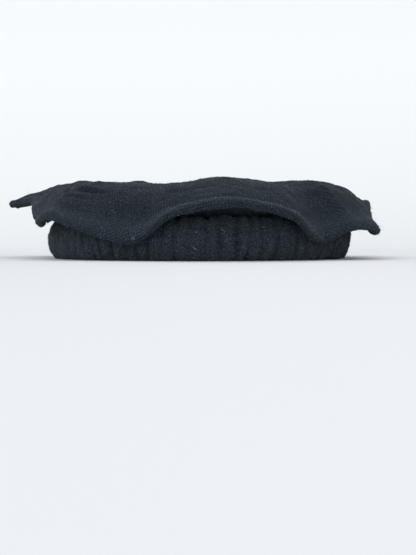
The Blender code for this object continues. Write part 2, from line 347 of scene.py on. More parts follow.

# The floor: flat to FLOOR_FLAT behind the hat, a bend, then a slope. Its painted shadow at the left and its
# lighter far part change over these places.
FLOOR_HALF = 4.0
FLOOR_FRONT = -4.0
FLOOR_FLAT = 0.9
FLOOR_BEND = 2.2
BEND_STEPS = 12
SLOPE_DEG = 28
SLOPE_RUN = 3.5
LEFT_SHADOW_ACROSS, LEFT_SHADOW_AHEAD = (0.06, -0.16), (0.5, -0.15)
FAR_BEHIND = (0.2, 2.6)

# Lights: name, place, size, power and colour. Each looks at the hat's middle.
LIGHTS = (
    ("key", (-0.9, -0.5, 1.5), 0.9, 4, (1.0, 1.0, 1.0)),
    ("fill", (-0.2, -2.2, 0.30), 1.6, 25, (0.97, 0.98, 1.0)),
)

# The camera stands where the photo's does about the hat, as low as the floor allows.
CAMERA_FAR = 0.730
CAMERA_HEIGHT = 0.012
FOCAL_PIXELS = 1120
IMAGE_WIDE, IMAGE_HIGH = 416, 555
HAT_PIXEL = (199.0, 258.0)  # where the foot of the hat's middle falls
SENSOR = 36.0
CLIP_START = 0.005


def read_round(column, turns):
    """Reads a column of the folds at any turns, on a closed smooth curve that overshoots no row."""
    x = np.array([row[0] for row in FOLDS], float)
    y = np.array([row[COLUMNS.index(column)] for row in FOLDS], float)
    x = np.concatenate([x[-2:] - 360, x, x[:2] + 360])
    y = np.concatenate([y[-2:], y, y[:2]])
    width = np.diff(x)
    slope = np.diff(y) / width
    before, after = slope[:-1], slope[1:]
    weight_a = 2 * width[1:] + width[:-1]
    weight_b = width[1:] + 2 * width[:-1]
    same = before * after > 0
    mean = weight_a / np.where(same, before, 1) + weight_b / np.where(same, after, 1)
    tangent = np.zeros(len(x))
    tangent[1:-1] = np.where(same, (weight_a + weight_b) / np.where(same, mean, 1), 0)
    at = (np.asarray(turns, float) - x[2]) % 360 + x[2]
    k = np.clip(np.searchsorted(x, at, side="right") - 1, 1, len(x) - 3)
    t = (at - x[k]) / width[k]
    rise = (1 + 2 * t) * (1 - t) ** 2 * y[k] + t * t * (3 - 2 * t) * y[k + 1]
    return rise + width[k] * t * (1 - t) * ((1 - t) * tangent[k] - t * tangent[k + 1])


def all_turns(count):
    return np.arange(count) * 360 / count - 180


def smooth(x, start=0.0, end=1.0):
    """0 before start, 1 after end, and a smooth step between them."""
    t = np.clip((x - start) / (end - start), 0, 1)
    return t * t * (3 - 2 * t)


def ripples(points, wavelength, seed, stretch=(1, 1, 1)):
    """Soft random waves of about that wavelength, with a usual height of 1."""
    rng = np.random.default_rng(seed)
    way = rng.normal(size=(WAVE_COUNT, 3))
    way /= np.linalg.norm(way, axis=1)[:, None]
    way *= (2 * math.pi / (wavelength * rng.uniform(*WAVE_SPREAD, WAVE_COUNT)))[:, None]
    way *= np.array(stretch)
    phase = rng.uniform(0, 2 * math.pi, WAVE_COUNT)
    total = np.zeros(points.shape[:-1])
    for w, p in zip(way, phase):
        total += np.sin(points @ w + p)
    return total / math.sqrt(WAVE_COUNT / 2)


def waves(points, sets, seed):
    """Several sets of ripples laid over each other."""
    return sum(high * ripples(points, long, seed + n) for n, (long, high) in enumerate(sets))


def roll_middle(turns):
    angle = np.radians(turns)
    half_width = (HEAD_WIDTH + ROLL_THICK) / 2
    half_length = (HEAD_LENGTH + ROLL_THICK) / 2
    return 1 / np.hypot(np.sin(angle) / half_width, np.cos(angle) / half_length)


def roll_section():
    """Half the roll's height, the height of its middle, and the section angle where its flat foot begins."""
    upright = math.sqrt(1 - (ROLL_FLAT / ROLL_THICK) ** 2)
    half_height = ROLL_HEIGHT / (1 + upright)
    return half_height, half_height * upright, -math.asin(upright)


def edge_middle(turns):
    stack = CLOTH + 2 * SEAM_GAP + EDGE_THICK / 2
    roll_outside = roll_middle(turns) + ROLL_THICK / 2
    reach = roll_outside + stack + OVERHANG * read_round("reach", turns)
    return reach, CROWN_HEIGHT * read_round("edge", turns)


def crown_line(turns, share):
    """The middle of the crown's cloth: its reach and height at every share and turn."""
    reach, edge = edge_middle(turns)
    shoulder = CROWN_HEIGHT * read_round("shoulder", turns)
    middle = CROWN_HEIGHT * CROWN_MIDDLE
    top = middle + (shoulder - middle) * smooth(share, 0, SHOULDER)
    fall = np.clip((share - SHOULDER) / (1 - SHOULDER), 0, None)
    return reach * share, top - (shoulder - edge) * fall ** read_round("fullness", turns)


def crown_way(turns, share, step=0.01):
    """The direction in which the crown's cloth runs outwards."""
    inner, outer = crown_line(turns, share - step), crown_line(turns, share)
    out, up = outer[0] - inner[0], outer[1] - inner[1]
    length = np.hypot(out, up)
    return out / length, up / length


def edge_point(turns, angle_deg, distance):
    reach, height = edge_middle(turns)
    along_out, along_up = crown_way(turns, 1.0)
    out = distance * math.cos(math.radians(angle_deg))
    up = distance * math.sin(math.radians(angle_deg))
    return reach + along_out * out - along_up * up, height + along_up * out + along_out * up


def place(turns, reach, height):
    angle = np.radians(turns)
    return np.stack([reach * np.sin(angle), -reach * np.cos(angle), height + 0 * reach], -1)


def valleys():
    """Turn and depth of each valley between two gathers, as in the solids."""
    rng = random.Random(GATHER_SEED)
    count = round(math.pi * (HEAD_WIDTH + HEAD_LENGTH + 2 * ROLL_THICK) / 2 / GATHER_WIDTH)
    rows = []
    for k in range(count):
        stray = GATHER_UNEVEN * (rng.random() - 0.5)
        depth = rng.uniform(VALLEY_LEAST, VALLEY_MOST)
        rows.append(((k + stray) * 360 / count - 180, depth))
    return np.array(rows)


def gather_depth(turns, angles, rows, seed, slant, sharp):
    """How deep the gathers' valleys are at each section angle and turn, as shares of the full depth."""
    rng = np.random.default_rng(seed)
    count = len(rows)
    lean = rng.uniform(-slant, slant, count) * 360 / count
    beat = rng.uniform(*GATHER_BEAT, count)
    phase = rng.uniform(0, 2 * math.pi, count)
    out = np.zeros((len(angles), len(turns)))
    for i, angle in enumerate(angles):
        centre = rows[:, 0] + lean * np.sin(angle * beat + phase)
        depth = rows[:, 1] * (DEPTH_MEAN + DEPTH_SWING * np.sin(angle * beat * DEPTH_BEAT + phase * 2))
        order = np.argsort(centre)
        x = np.concatenate([centre[order][-2:] - 360, centre[order], centre[order][:2] + 360])
        d = np.concatenate([depth[order][-2:], depth[order], depth[order][:2]])
        at = np.interp(turns, x, np.arange(len(x)))
        part = at % 1
        out[i] = np.interp(at, np.arange(len(x)), d) * (1 - np.sin(math.pi * part) ** sharp)
    return out


def deep_gathers(turns, angles, rows):
    return gather_depth(turns, angles, rows, SEEDS["gathers"], DEEP_SLANT, DEEP_SHARP)


def fine_gathers(turns, angles, deep_count):
    count = deep_count * FINE_EACH
    rows = np.stack([all_turns(count), np.ones(count)], 1)
    rows[:, 0] += np.random.default_rng(SEEDS["fine_stray"]).uniform(-FINE_STRAY, FINE_STRAY, count)
    return gather_depth(turns, angles, rows, SEEDS["fine_gathers"], FINE_SLANT, FINE_SHARP)


def add(name, data):
    """An object with that data, in the scene."""
    made = bpy.data.objects.new(name, data)
    bpy.context.scene.collection.objects.link(made)
    return made


def new_piece(name, points, faces):
    mesh = bpy.data.meshes.new(name)
    mesh.from_pydata(points, [], faces)
    mesh.shade_smooth()
    return add(name, mesh)


def read(items, key, width=1, kind=float):
    """One property of a mesh's vertices, faces or corners as an array, with a row for each."""
    values = np.zeros(len(items) * width, kind)
    items.foreach_get(key, values)
    return values.reshape(-1, width) if width > 1 else values


def grid_mesh(name, rings, uv, wear_and_shade, poles=None):
    """One closed body over rings of points, with its cloth coordinates and a field at each point that holds
    its wear and painted shade.
    The last ring meets the first, or two poles close the ends.
    """
    count = rings.shape[1]
    points = rings.reshape(-1, 3)
    pairs = [(k, k + 1) for k in range(len(rings) - 1)]
    if poles is None:
        pairs.append((len(rings) - 1, 0))
    i = np.arange(count)
    j = (i + 1) % count
    quads = [np.stack([a * count + i, b * count + i, b * count + j, a * count + j], 1) for a, b in pairs]
    faces = np.concatenate(quads).tolist()
    if poles is not None:
        first = len(points)
        end = (len(rings) - 1) * count
        points = np.concatenate([points, poles])
        faces += [(first, int(a), int(b)) for a, b in zip(i, j)]
        faces += [(first + 1, int(end + b), int(end + a)) for a, b in zip(i, j)]
        uv = np.concatenate([uv.reshape(-1, 2), poles[:, :2]])
        wear_and_shade = np.concatenate([wear_and_shade.ravel(), [0, 0]])
    piece = new_piece(name, points.tolist(), faces)
    mesh = piece.data
    mesh.validate()
    corners = read(mesh.loops, "vertex_index", kind=int)
    layer = mesh.uv_layers.new(name="cloth")
    layer.uv.foreach_set("vector", uv.reshape(-1, 2)[corners].astype(np.float32).ravel())
    wear_and_shade_field = mesh.attributes.new("wear_and_shade", "FLOAT", "POINT")
    wear_and_shade_field.data.foreach_set("value", wear_and_shade.ravel().astype(np.float32))
    return piece


def crease_depth(turns, inward):
    """Depth of the crown's creases at each ring and turn."""
    total = np.zeros(inward.shape)
    for turn_a, in_a, turn_b, in_b, deep, wide in CREASES:
        part = (turns - turn_a) / (turn_b - turn_a)
        middle = in_a + (in_b - in_a) * part
        middle = middle + CREASE_BOW * np.sin(turns * CREASE_BEAT + turn_a)
        ends = smooth(part, *CREASE_START) * (1 - smooth(part, *CREASE_END))
        gap = (inward - middle) / wide
        total += deep * ends * (np.exp(-(gap**2)) - LIP_HIGH * np.exp(-((gap - LIP_AWAY) ** 2)))
    return total


def ring_shares(near, far, inmost):
    """Shares of the reach from 1 at the edge inwards: close steps in the rim's zone, then wide ones."""
    zone = RIM_ZONE / USUAL_REACH
    rest = np.linspace(0, 1, far + 1)[1:] ** RING_CROWD
    return 1 - np.concatenate([np.linspace(0, zone, near), zone + (1 - inmost - zone) * rest])


def half_thick(inward):
    """The crown's half thickness, with the round of its thick edge blended in."""
    bead = np.sqrt(np.clip((EDGE_THICK / 2) ** 2 - inward**2, 0, None))
    over = (bead - CLOTH / 2) / RIM_SOFT
    return CLOTH / 2 + RIM_SOFT * np.log1p(np.exp(over * 2)) / 2


def crown_side(turns, reach, shares, sign):
    """The crown's upper (1) or under side (-1), the way in from its edge, and the cloth's direction."""
    rows = shares[:, None]
    out, up = crown_line(turns[None], rows)
    way_out, way_up = crown_way(turns[None], rows)
    inward = (1 - rows) * reach[None]
    offset = sign * half_thick(inward)
    return out - way_up * offset, up + way_out * offset, inward, way_out, way_up


def cloth_coordinates(turns, rings):
    """Coordinates measured along the crown's cloth from its middle, so that rows of stitches run over it."""
    steps = np.linalg.norm(np.diff(rings, axis=0), axis=2)
    along = np.concatenate([np.hypot(*rings[:1, :, :2].T).T, steps]).cumsum(axis=0)
    uv = place(turns[None], along, 0)[..., :2]
    return uv + ROW_STRAY * np.stack([ripples(rings, ROW_WAVE, SEEDS["rows"] + n) for n in (0, 1)], -1)


def make_crown():
    turns = all_turns(CROWN_TURNS)
    reach = edge_middle(turns)[0]

    top_shares = ring_shares(*TOP_RINGS, TOP_IN)[::-1]
    top_out, top_up, inward, way_out, way_up = crown_side(turns, reach, top_shares, 1)
    base = place(turns[None], top_out, top_up)
    groove = SEAM_DEEP * np.exp(-(((inward - SEAM_IN) / SEAM_WIDE) ** 2))
    creases = crease_depth(turns[None], inward)
    lift = waves(base, CLOTH_WAVES, SEEDS["cloth"]) * smooth(inward, *WAVES_GROW) - creases - groove
    top = place(turns[None], top_out - way_up * lift, top_up + way_out * lift)

    angles = np.linspace(90, -90, EDGE_RINGS + 2)[1:-1]
    edge = np.stack([place(turns, *edge_point(turns, a, EDGE_THICK / 2)) for a in angles])
    centre = place(turns, *edge_middle(turns))
    edge_lift = waves(edge, RIM_WAVES, SEEDS["rim"])
    edge = edge + (edge - centre) / (EDGE_THICK / 2) * edge_lift[..., None]

    low_out, low_up, *_ = crown_side(turns, reach, ring_shares(*UNDER_RINGS, UNDER_IN), -1)
    bottom = place(turns[None], low_out, low_up)

    rings = np.concatenate([top, edge, bottom])
    wear_and_shade = np.zeros(rings.shape[:2])
    # Wear on the rim; painted shade in the creases and a painted highlight on the low ridge beside each
    wear_and_shade[: len(top)] = 1 - smooth(inward, *RIM_WORN) - CREASE_SHADE * creases
    wear_and_shade[len(top) : len(top) + EDGE_RINGS] = EDGE_WORN
    # Painted shade on the edge's rings that face down
    wear_and_shade[len(top) + EDGE_UPPER : len(top) + EDGE_RINGS] *= EDGE_LOWER_SHADE
    middle = CROWN_HEIGHT * CROWN_MIDDLE
    poles = np.array([(0, 0, middle + CLOTH / 2), (0, 0, middle - CLOTH / 2)])
    return grid_mesh("crown_wool", rings, cloth_coordinates(turns, rings), wear_and_shade, poles)


def make_roll():
    turns = all_turns(ROLL_TURNS)
    half_height, middle_height, lowest = roll_section()
    angles = np.linspace(lowest, math.pi - lowest, ROLL_RINGS)
    section_angle = angles[:, None]
    middle = roll_middle(turns)[None]
    rows = valleys()
    deep = deep_gathers(turns, angles, rows)
    fine = fine_gathers(turns, angles, len(rows))
    outside = INNER_CALM + (1 - INNER_CALM) * smooth(np.cos(section_angle), *INNER_FADE)
    front = 1 - smooth(np.abs(turns - FRONT_MIDDLE), *SIDE_FADE)
    calm = SIDE_CALM + (1 - SIDE_CALM) * front[None]
    cut = (GATHER_DEPTH * deep + FINE_DEPTH * fine) * outside * calm
    for turn, high, wide in RIDGES:
        lean = RIDGE_LEAN * np.sin(section_angle * RIDGE_BEAT + turn)
        ridge = np.exp(-(((turns[None] - turn - lean) / wide) ** 2))
        cut -= high * ridge * smooth(np.cos(section_angle), *RIDGE_FADE)
    for turn, angle, radius in KNOTS:
        across = (turns[None] - turn) * math.radians(1) * middle / radius
        along = (section_angle - math.radians(angle)) * ROLL_THICK / 2 / radius
        cut -= radius * np.exp(-((across**2 + along**2) ** KNOT_BLUNT) * KNOT_TIGHT)

    def section(cut):
        reach = middle + (ROLL_THICK / 2 - cut) * np.cos(section_angle)
        height = middle_height + (half_height - cut) * np.sin(section_angle)
        return place(turns[None], reach, height)

    base = section(cut)
    right = smooth(turns, *SLANTING_START) * (1 - smooth(turns, *SLANTING_END))
    skewed = base @ np.array([[1, 0, 0], [0, 1, 0], [0, SLANTING_SKEW, 1]])
    slanting = ripples(skewed, SLANTING_WAVE, SEEDS["slanting"], SLANTING_STRETCH)
    cut = cut + waves(base, ROLL_WAVES, SEEDS["roll"]) * outside
    cut = cut + SLANTING_HIGH * slanting * right[None] * outside
    rings = section(cut)
    first, last = rings[0], rings[-1]
    foot = []
    for k in range(1, FOOT_RINGS + 1):
        part = k / (FOOT_RINGS + 1)
        ring = last + (first - last) * part
        ring[:, 2] *= 1 - (1 - FOOT_DEEP) * math.sin(math.pi * part)
        foot.append(ring)
    rings = np.concatenate([rings, np.stack(foot)])
    rings[..., 2] = np.maximum(rings[..., 2], 0)

    # Painted shade in the valleys of the gathers; the field is also lower on the roll's inner side and 0 on
    # its foot
    hollow = np.clip(deep * VALLEY_SHADE_DEEP + VALLEY_SHADE_FINE * fine, 0, 1)
    wear_and_shade = (1 - hollow * (VALLEY_SHADE_SIDE + (1 - VALLEY_SHADE_SIDE) * calm)) * outside
    wear_and_shade = np.concatenate([wear_and_shade, np.zeros((FOOT_RINGS, len(turns)))])
    around = np.radians(turns)[None] * middle + 0 * section_angle
    across = section_angle * (ROLL_THICK + ROLL_HEIGHT) / 4 + 0 * around
    uv = np.stack([around, across], -1)
    uv = np.concatenate([uv, np.repeat(uv[-1:], FOOT_RINGS, 0)])
    return grid_mesh("roll_wool", rings[::-1], uv[::-1], wear_and_shade[::-1])


def make_side_wall():
    turns = all_turns(WALL_TURNS)
    tucked = EDGE_THICK / 2 + SEAM_CLOSE + CLOTH / 2
    tuck_reach, tuck_height = edge_point(turns, -90 - WALL_TUCK_DEG, tucked)
    half_height, middle_height, _ = roll_section()
    middle = roll_middle(turns)

    def touch(angle, clear):
        across = np.cos(angle) / (ROLL_THICK / 2 + clear)
        return 1 / np.hypot(across, np.sin(angle) / (half_height + clear))

    solid_start, start = math.radians(WALL_ANGLE_IN), math.radians(WALL_ANGLE_SUNK)
    end = np.arctan2(tuck_height - middle_height, tuck_reach - middle)
    end_far = np.hypot(tuck_height - middle_height, tuck_reach - middle)
    lift = np.maximum(end_far - touch(end, LAY_GAP + CLOTH / 2), 0)
    shares = np.linspace(0, 1, WALL_RINGS)
    deep = deep_gathers(turns, solid_start - shares * WALL_SWEEP, valleys())

    def half_cloth(share):
        return CLOTH / 2 * (WALL_THIN + (1 - WALL_THIN) * smooth(share, 0, WALL_WHOLE))

    def line(share, depth, extra):
        angle = start + (end - start) * share
        way = np.clip((solid_start - angle) / (solid_start - end), 0, None)
        above = smooth(share, *WALL_ABOVE)
        raised = WALL_GATHER_DEPTH * np.clip(VALLEY_MOST - depth, 0, None) * (1 - way) * above
        close = LAY_GAP + half_cloth(share) - WALL_SINK * (1 - above)
        far = touch(angle, close) + lift * way**WALL_LIFT + raised + extra
        return middle + far * np.cos(angle), middle_height + far * np.sin(angle)

    bare = np.stack([place(turns, *line(s, deep[k], 0)) for k, s in enumerate(shares)])
    front = 1 - smooth(np.abs(turns - FRONT_MIDDLE), *WALL_CALM_FADE)
    calm = WALL_CALM + (1 - WALL_CALM) * front[None]
    bell = np.sin(math.pi * shares)[:, None]
    loose = bell * (np.minimum(lift, WALL_FREE) / WALL_FREE)[None]
    pleat_gap = (turns - PLEAT_TURN)[None] - PLEAT_LEAN * shares[:, None]
    pleat = np.exp(-((pleat_gap / PLEAT_WIDE) ** 2))
    extra = (waves(bare, WALL_WAVES, SEEDS["wall"]) - WALL_VALLEY * deep) * loose * calm
    extra += PLEAT_HIGH * pleat * loose

    sides = {1: [], -1: []}
    for k, share in enumerate(shares):
        here = line(share, deep[k], extra[k])
        back, on = (line(share + step, deep[k], extra[k]) for step in (-WALL_STEP, WALL_STEP))
        along, up = on[0] - back[0], on[1] - back[1]
        length = np.hypot(along, up)
        for side, kept in sides.items():
            out = side * half_cloth(share) / length
            kept.append(place(turns, here[0] - up * out, here[1] + along * out))
    rings = np.concatenate([np.stack(sides[1]), np.stack(sides[-1][::-1])])
    # Painted shade in the valleys of the side wall's gathers; the wall is also darker towards the crown
    wear_and_shade = np.clip(1 - deep, 0, 1) * (WALL_PALE - WALL_DARKER_UP * shares[:, None])
    wear_and_shade = np.concatenate([0 * wear_and_shade, wear_and_shade[::-1]])
    around = np.radians(turns)[None] * middle[None] + 0 * shares[:, None]
    uv = np.stack([around, shares[:, None] * WALL_CLOTH + 0 * around], -1)
    uv = np.concatenate([uv, uv[::-1]])
    return grid_mesh("side_wall_wool", rings, uv, wear_and_shade)


def spots_inside(piece, chosen, rng):
    """A random point inside each chosen face, and its cloth coordinates."""
    mesh = piece.data
    points = read(mesh.vertices, "co", 3)
    corners = read(mesh.loops, "vertex_index", kind=int)
    cloth = read(mesh.uv_layers["cloth"].uv, "vector", 2)
    starts = read(mesh.polygons, "loop_start", kind=int)
    totals = read(mesh.polygons, "loop_total", kind=int)
    kept = starts[chosen, None] + np.minimum(np.arange(4), totals[chosen, None] - 1)
    u, v = rng.random((2, len(chosen), 1))
    found = []
    for values in (points[corners[kept]], cloth[kept]):
        a, b, c, d = values.transpose(1, 0, 2)
        found.append((a * (1 - u) + b * u) * (1 - v) + (d * (1 - u) + c * u) * v)
    return found


def fibre_mesh(name, roots, middles, tips, thick):
    """Thin closed needles from each root through its middle to its tip."""
    along = tips - roots
    along /= np.linalg.norm(along, axis=1)[:, None]
    helper = np.where(np.abs(along[:, 2:]) < FIBRE_STEEP, [[0, 0, 1.0]], [[1.0, 0, 0]])
    side = np.cross(along, helper)
    side /= np.linalg.norm(side, axis=1)[:, None]
    other = np.cross(along, side)
    points = []
    for base, size in ((roots, 1.0), (middles, FIBRE_MIDDLE)):
        for turn in (0, 120, 240):
            c, s = math.cos(math.radians(turn)), math.sin(math.radians(turn))
            points.append(base + (side * c + other * s) * (thick * size / 2)[:, None])
    points = np.stack([*points, tips], 1)
    start = (np.arange(len(points)) * points.shape[1])[:, None]
    quads = [(0, 1, 4, 3), (1, 2, 5, 4), (2, 0, 3, 5)]
    tris = [(2, 1, 0), (3, 4, 6), (4, 5, 6), (5, 3, 6)]
    faces = []
    for corners in quads + tris:
        faces += (start + np.array(corners)).tolist()
    return new_piece(name, points.reshape(-1, 3).tolist(), faces)


def fuzz(name, piece, weight, count, length, thick, lift, comb=1.0, rows=None):
    """Short bent fibres on a piece, where the weight of its faces says. A comb over 1 sets them upright,
    and rows of stitches (their two sizes) draw them together.
    """
    rng = np.random.default_rng(SEEDS[name])
    area = read(piece.data.polygons, "area")
    chance = area * weight
    tries = count * (ROW_TRIES if rows else 1)
    chosen = rng.choice(len(area), tries, p=chance / chance.sum())
    root, cloth = spots_inside(piece, chosen, rng)
    if rows:
        stitch = np.sin(2 * math.pi * cloth / np.array(rows)).mean(axis=1)
        late = rng.exponential(size=tries) / (ROW_LOOSE + np.clip(stitch, 0, 1) ** 2)
        kept = np.argsort(late)[:count]
        chosen, root = chosen[kept], root[kept]
    n = read(piece.data.polygons, "normal", 3)[chosen]
    loose = rng.normal(size=(count, 3)) * (1, 1, comb)
    flat = loose - (loose * n).sum(1)[:, None] * n
    flat /= np.linalg.norm(flat, axis=1)[:, None]
    long = length * rng.uniform(*FIBRE_LENGTHS, count)[:, None]
    rise = rng.uniform(*lift, count)[:, None]
    bend = rng.normal(size=(count, 3)) * FIBRE_BEND
    middle = root + long * 0.5 * (flat * (1 - rise) + n * (rise + FIBRE_BOW))
    tip = root + long * (flat * (1 - rise) + n * rise * FIBRE_DROP) + bend * long
    above = ((tip - root) * n).sum(1)[:, None]
    tip = tip + n * np.maximum(TIP_CLEAR - above, 0)
    root = root - n * ROOT_SUNK
    for ends in (root, middle, tip):
        ends[:, 2] = np.maximum(ends[:, 2], thick)
    return fibre_mesh(name, root, middle, tip, thick * rng.uniform(*FIBRE_THICKS, count))


def faces_of(piece, first, last, count, boost=()):
    """A weight for each face: 1 between two rings, more where boost says (first, last, weight)."""
    weight = np.zeros(len(piece.data.polygons))
    weight[first * count : last * count] = 1
    for a, b, more in boost:
        weight[a * count : b * count] = more
    return weight


def front_more(piece, middle):
    """A weight for each face: more fibres on the hat's front, which the photo shows closest."""
    centre = read(piece.data.polygons, "center", 3) - np.array(middle)
    turn = np.abs(np.degrees(np.arctan2(centre[:, 0], -centre[:, 1])))
    return 1 + FRONT_FUZZ * (1 - smooth(turn, *FRONT_FADE)) - BACK_FUZZ * smooth(turn, *BACK_FADE)


def ridge_more(piece):
    """A weight for each face: more fibres on the gathers' ridges than in their valleys, which hold painted
    shade in the wear field.
    """
    mesh = piece.data
    wear_and_shade = read(mesh.attributes["wear_and_shade"].data, "value")
    starts = read(mesh.polygons, "loop_start", kind=int)
    corners = read(mesh.loops, "vertex_index", kind=int)
    return VALLEY_FUZZ + wear_and_shade[corners[starts]] ** RIDGE_POWER


def thread_mesh(name, paths, widths):
    """Closed round threads along rows of points, thinner towards both ends."""
    points, faces = [], []
    for path, width in zip(paths, widths):
        path = np.array(path)
        way = np.gradient(path, axis=0)
        way /= np.linalg.norm(way, axis=1)[:, None]
        side = np.cross(way, LINT_HELPER)
        side /= np.linalg.norm(side, axis=1)[:, None]
        other = np.cross(way, side)
        first = len(points)
        for k, (p, a, b) in enumerate(zip(path, side, other)):
            bulge = math.sin(math.pi * (k + 0.5) / len(path))
            size = width / 2 * (LINT_END + (1 - LINT_END) * bulge)
            for n in range(LINT_SIDES):
                turn = 2 * math.pi * n / LINT_SIDES
                points.append(tuple(p + size * (a * math.cos(turn) + b * math.sin(turn))))
        for k in range(len(path) - 1):
            for n in range(LINT_SIDES):
                m = (n + 1) % LINT_SIDES
                low, high = first + k * LINT_SIDES, first + (k + 1) * LINT_SIDES
                faces.append((low + n, low + m, high + m, high + n))
        faces.append(tuple(first + n for n in reversed(range(LINT_SIDES))))
        faces.append(tuple(first + (len(path) - 1) * LINT_SIDES + n for n in range(LINT_SIDES)))
    return new_piece(name, points, faces)


def lint(name, places, middle):
    """Short pale threads that have caught on the hat, each laid over the piece from its own middle."""
    rng = np.random.default_rng(SEEDS[name])
    paths, widths = [], []
    for piece, (turn, height, length, lean, curl, width) in places:
        angle = math.radians(turn)
        far = Vector((math.sin(angle), -math.cos(angle), 0))
        hit, spot, out, _ = piece.ray_cast(middle + far * LINT_FROM + Vector((0, 0, height)), -far)
        if not hit:
            continue
        spot, out = np.array(spot), np.array(out)
        level = np.cross((0, 0, 1), out)
        level /= np.linalg.norm(level)
        rise = np.cross(out, level)
        along = level * math.sin(math.radians(lean)) + rise * math.cos(math.radians(lean))
        across = np.cross(out, along)
        path = []
        for k in range(LINT_STEPS):
            t = k / (LINT_STEPS - 1) - 0.5
            bow = curl * length * (0.5**2 - t * t)  # 0 at both ends
            loose = LINT_CLEAR + 0.5 * width + LINT_LOOSE * abs(t) * rng.uniform(*LINT_LOOSER)
            path.append(spot + along * t * length + across * bow + out * loose)
        paths.append(path)
        widths.append(width)
    return thread_mesh(name, paths, widths)


def new_material(name):
    """A material with its nodes and its shader."""
    material = bpy.data.materials.new(name)
    material.use_nodes = True
    return material, material.node_tree, material.node_tree.nodes["Principled BSDF"]


def put(tree, value, socket):
    """Links another node's output to a socket, or sets the socket to a plain value."""
    if isinstance(value, bpy.types.NodeSocket):
        tree.links.new(value, socket)
    else:
        socket.default_value = value


def set_inputs(tree, node, settings):
    for key, value in settings.items():
        put(tree, value, node.inputs[key])


def new_node(tree, kind, settings=()):
    made = tree.nodes.new(kind)
    set_inputs(tree, made, dict(settings))
    return made


def noise(tree, settings):
    """Noise fixed to the piece, as a value from 0 to 1."""
    way = new_node(tree, "ShaderNodeTexCoord").outputs["Object"]
    return new_node(tree, "ShaderNodeTexNoise", {"Vector": way, **settings}).outputs["Fac"]


def mapped(tree, source, start, end, low=0.0, high=1.0, kind="LINEAR"):
    """Low where the source is at start, high where it is at end."""
    ends = {"From Min": start, "From Max": end, "To Min": low, "To Max": high}
    ramp = new_node(tree, "ShaderNodeMapRange", {"Value": source, **ends})
    ramp.interpolation_type = kind
    return ramp.outputs["Result"]


def math_node(tree, kind, *values):
    made = new_node(tree, "ShaderNodeMath")
    made.operation = kind
    for slot, value in enumerate(values):
        put(tree, value, made.inputs[slot])
    return made.outputs[0]


def mixed(tree, factor, first, second):
    """A colour between two others."""
    mix = new_node(tree, "ShaderNodeMix")
    mix.data_type = "RGBA"
    for slot, value in (("Factor", factor), (MIX_A, first), (MIX_B, second)):
        put(tree, value, mix.inputs[slot])
    return mix.outputs[MIX_OUT]


def wool(name, dark, light, sheen, wear_and_shade_tone, grain, rows=PLAIN_ROWS, row_tone=0.0):
    """Dark felted wool: soft rows of fine stitches under a fuzzy speckle, paler where its field of wear and
    painted shade is high.
    """
    material, tree, shader = new_material(name)
    broad, fine, speck = (noise(tree, settings) for settings in (BROAD_NOISE, FINE_NOISE, SPECK_NOISE))
    cloth = new_node(tree, "ShaderNodeUVMap")
    cloth.uv_map = "cloth"
    split = new_node(tree, "ShaderNodeSeparateXYZ", {"Vector": cloth.outputs["UV"]})
    threads = []
    for way, size in zip("XY", rows):
        wave = math_node(tree, "MULTIPLY", split.outputs[way], 2 * math.pi / size)
        threads.append(math_node(tree, "SINE", wave))
    stitches = math_node(tree, "ADD", *threads)

    # This field holds real wear and painted shade
    wear_and_shade_field = new_node(tree, "ShaderNodeAttribute")
    wear_and_shade_field.attribute_name = "wear_and_shade"
    tone = math_node(tree, "MULTIPLY", wear_and_shade_field.outputs["Fac"], wear_and_shade_tone)
    for source, (start, end, low, high), amount in (
        (broad, BROAD_TONE, 1.0),
        (fine, FINE_TONE, grain),
        (speck, SPECK_TONE, grain),
    ):
        tone = math_node(tree, "ADD", tone, mapped(tree, source, start, end, low * amount, high * amount))
    start, end, clear, felted = FELTED
    rows_show = mapped(tree, broad, start, end, clear * row_tone, felted * row_tone)
    tone = math_node(tree, "ADD", tone, math_node(tree, "MULTIPLY", stitches, rows_show))

    height = math_node(tree, "MULTIPLY", stitches, ROW_HEIGHT)
    for source, most in ((fine, FINE_HEIGHT), (speck, SPECK_HEIGHT)):
        height = math_node(tree, "ADD", height, mapped(tree, source, 0.0, 1.0, 0.0, most))
    bump = new_node(tree, "ShaderNodeBump", {"Height": height, **BUMP})
    set_inputs(tree, shader, {
        "Base Color": mixed(tree, tone, dark, light), "Normal": bump.outputs["Normal"],
        "Sheen Weight": sheen, **WOOL_SHADER,
    })
    return material


def fibre_wool(name, colour, other):
    """Single fibres, between two colours."""
    material, tree, shader = new_material(name)
    spread = mapped(tree, noise(tree, FIBRE_NOISE), *FIBRE_SPREAD)
    set_inputs(tree, shader, {"Base Color": mixed(tree, spread, colour, other), **FIBRE_SHADER})
    return material


def floor_paint():
    """A plain matt floor, a little lighter far behind, with a cooler, darker painted soft shadow at the left
    in front.
    """
    material, tree, shader = new_material("floor_pale")
    way = new_node(tree, "ShaderNodeTexCoord").outputs["Object"]
    split = new_node(tree, "ShaderNodeSeparateXYZ", {"Vector": way})

    def between(axis, start, end):
        return mapped(tree, split.outputs[axis], start, end, kind="SMOOTHSTEP")

    # Painted shadow at the left in front
    left_shadow = math_node(tree, "MULTIPLY", between("X", *LEFT_SHADOW_ACROSS), between("Y", *LEFT_SHADOW_AHEAD))
    near = mixed(tree, left_shadow, FLOOR_NEAR, FLOOR_LEFT_SHADOW)
    colour = mixed(tree, between("Y", *FAR_BEHIND), near, FLOOR_FAR)
    set_inputs(tree, shader, {"Base Color": colour, **FLOOR_SHADER})
    return material


